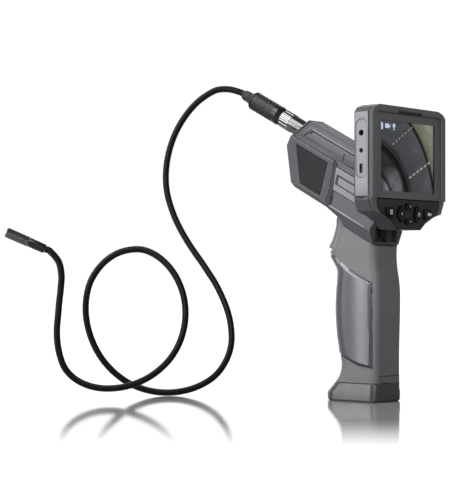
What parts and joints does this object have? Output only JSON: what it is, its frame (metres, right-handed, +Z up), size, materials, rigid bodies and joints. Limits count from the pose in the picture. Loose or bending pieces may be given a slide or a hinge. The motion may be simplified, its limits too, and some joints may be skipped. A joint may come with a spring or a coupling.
{
  "type": "inspection camera",
  "caption": "Pistol-grip inspection camera with a lift-off colour monitor, trigger, keypad and a bendable gooseneck probe ending in a small lit camera head.",
  "frame": {"origin": "on the standing surface, at the middle of the footprint of the handle, monitor and connector, without the free probe", "axes": "+Z up; the monitor faces -Y; the probe connector points towards +Y and up; X runs across the monitor"},
  "size_m": [0.2364, 0.2581, 0.2568],
  "materials": {
    "barrel_shell_left": "fine moulded grain",
    "barrel_shell_right": "fine moulded grain",
    "nose_cowl": "fine moulded grain",
    "side_panel_left": "satin",
    "side_panel_right": "satin",
    "label_plate_left": "satin",
    "label_plate_right": "satin",
    "grip_shell_left": "fine moulded grain",
    "grip_shell_right": "fine moulded grain",
    "grip_pad": "soft touch",
    "foot_cap": "fine moulded grain",
    "battery_cage": "moulded",
    "battery_cell_1": "foil wrap",
    "battery_cell_2": "foil wrap",
    "battery_cell_3": "foil wrap",
    "battery_cell_4": "foil wrap",
    "trigger": "fine moulded grain",
    "trigger_pin": "ground",
    "trigger_spring": "spring wire",
    "trigger_switch": "moulded",
    "main_board": "solder mask",
    "dock_rail": "satin",
    "dock_latch": "satin",
    "barrel_screw_1": "zinc plated",
    "barrel_screw_2": "zinc plated",
    "grip_screw_1": "zinc plated",
    "grip_screw_2": "zinc plated",
    "panel_socket": "polished plating",
    "socket_nut": "polished plating",
    "coupling_nut": "polished plating",
    "plug_core": "moulded",
    "plug_sleeve": "black anodised, knurled",
    "strain_relief": "moulded boot",
    "gooseneck": "ribbed sheath",
    "head_ferrule": "black anodised",
    "camera_head": "black anodised",
    "led_ring": "white diffuser",
    "lens_window": "coated",
    "monitor_back": "fine moulded grain",
    "monitor_bezel": "fine moulded grain",
    "keypad_panel": "satin",
    "keypad_mat": "moulded",
    "screen_glass": "flat cover glass",
    "lcd_panel": "display module",
    "monitor_board": "solder mask",
    "monitor_battery": "foil pouch",
    "port_plate": "satin",
    "av_jack": "moulded",
    "power_jack": "moulded",
    "usb_port": "tinned shell",
    "button_menu": "glossy key",
    "button_record": "glossy key",
    "button_up": "glossy key",
    "button_down": "glossy key",
    "button_left": "glossy key",
    "button_right": "glossy key"
  },
  "bodies": {
    "handle": {"barrel_shell_left": "barrel_shell_left", "barrel_shell_right": "barrel_shell_right", "nose_cowl": "nose_cowl", "side_panel_left": "side_panel_left", "side_panel_right": "side_panel_right", "label_plate_left": "label_plate_left", "label_plate_right": "label_plate_right", "grip_shell_left": "grip_shell_left", "grip_shell_right": "grip_shell_right", "grip_pad": "grip_pad", "battery_cage": "battery_cage", "battery_cell_1": "battery_cell_1", "battery_cell_2": "battery_cell_2", "battery_cell_3": "battery_cell_3", "battery_cell_4": "battery_cell_4", "trigger_pin": "trigger_pin", "trigger_spring": "trigger_spring", "trigger_switch": "trigger_switch", "main_board": "main_board", "dock_rail": "dock_rail", "barrel_screw_1": "barrel_screw_1", "barrel_screw_2": "barrel_screw_2", "grip_screw_1": "grip_screw_1", "grip_screw_2": "grip_screw_2", "panel_socket": "panel_socket", "socket_nut": "socket_nut", "plug_core": "plug_core", "plug_sleeve": "plug_sleeve", "strain_relief": "strain_relief", "gooseneck": "gooseneck", "head_ferrule": "head_ferrule", "camera_head": "camera_head", "led_ring": "led_ring", "lens_window": "lens_window"},
    "monitor": {"monitor_back": "monitor_back", "monitor_bezel": "monitor_bezel", "keypad_panel": "keypad_panel", "keypad_mat": "keypad_mat", "screen_glass": "screen_glass", "lcd_panel": "lcd_panel", "monitor_board": "monitor_board", "monitor_battery": "monitor_battery", "port_plate": "port_plate", "av_jack": "av_jack", "power_jack": "power_jack", "usb_port": "usb_port"},
    "trigger": {"trigger": "trigger"},
    "foot_cap": {"foot_cap": "foot_cap"},
    "coupling_nut": {"coupling_nut": "coupling_nut"},
    "dock_latch": {"dock_latch": "dock_latch"},
    "button_menu": {"button_menu": "button_menu"},
    "button_record": {"button_record": "button_record"},
    "button_up": {"button_up": "button_up"},
    "button_down": {"button_down": "button_down"},
    "button_left": {"button_left": "button_left"},
    "button_right": {"button_right": "button_right"}
  },
  "joints": [
    {"name": "trigger_pull", "type": "hinge", "parent": "handle", "child": "trigger", "pos_m": [0, -0.02199, 0.1532], "axis": [-1, 0, 0], "range_deg": [0, 7], "stiffness_Nm_per_rad": 0.5, "springref_deg": -11.46},
    {"name": "monitor_lift", "type": "slide", "parent": "handle", "child": "monitor", "axis": [0, 0, 1], "range_m": [0, 0.045]},
    {"name": "foot_cap_slide", "type": "slide", "parent": "handle", "child": "foot_cap", "axis": [0, -1, 0], "range_m": [0, 0.056]},
    {"name": "coupling_nut_turn", "type": "hinge", "parent": "handle", "child": "coupling_nut", "pos_m": [0, 0.02766, 0.21727], "axis": [0, 0.8829, 0.4695], "range_deg": [0, 900]},
    {"name": "dock_latch_press", "type": "slide", "parent": "handle", "child": "dock_latch", "axis": [0, 1, 0], "range_m": [0, 0.002], "stiffness_N_per_m": 900, "springref_m": -0.001},
    {"name": "button_menu_press", "type": "slide", "parent": "monitor", "child": "button_menu", "axis": [0, 1, 0], "range_m": [0, 0.0008], "stiffness_N_per_m": 1200, "springref_m": -0.0006},
    {"name": "button_record_press", "type": "slide", "parent": "monitor", "child": "button_record", "axis": [0, 1, 0], "range_m": [0, 0.0008], "stiffness_N_per_m": 1200, "springref_m": -0.0006},
    {"name": "button_up_press", "type": "slide", "parent": "monitor", "child": "button_up", "axis": [0, 1, 0], "range_m": [0, 0.0008], "stiffness_N_per_m": 1200, "springref_m": -0.0006},
    {"name": "button_down_press", "type": "slide", "parent": "monitor", "child": "button_down", "axis": [0, 1, 0], "range_m": [0, 0.0008], "stiffness_N_per_m": 1200, "springref_m": -0.0006},
    {"name": "button_left_press", "type": "slide", "parent": "monitor", "child": "button_left", "axis": [0, 1, 0], "range_m": [0, 0.0008], "stiffness_N_per_m": 1200, "springref_m": -0.0006},
    {"name": "button_right_press", "type": "slide", "parent": "monitor", "child": "button_right", "axis": [0, 1, 0], "range_m": [0, 0.0008], "stiffness_N_per_m": 1200, "springref_m": -0.0006}
  ]
}
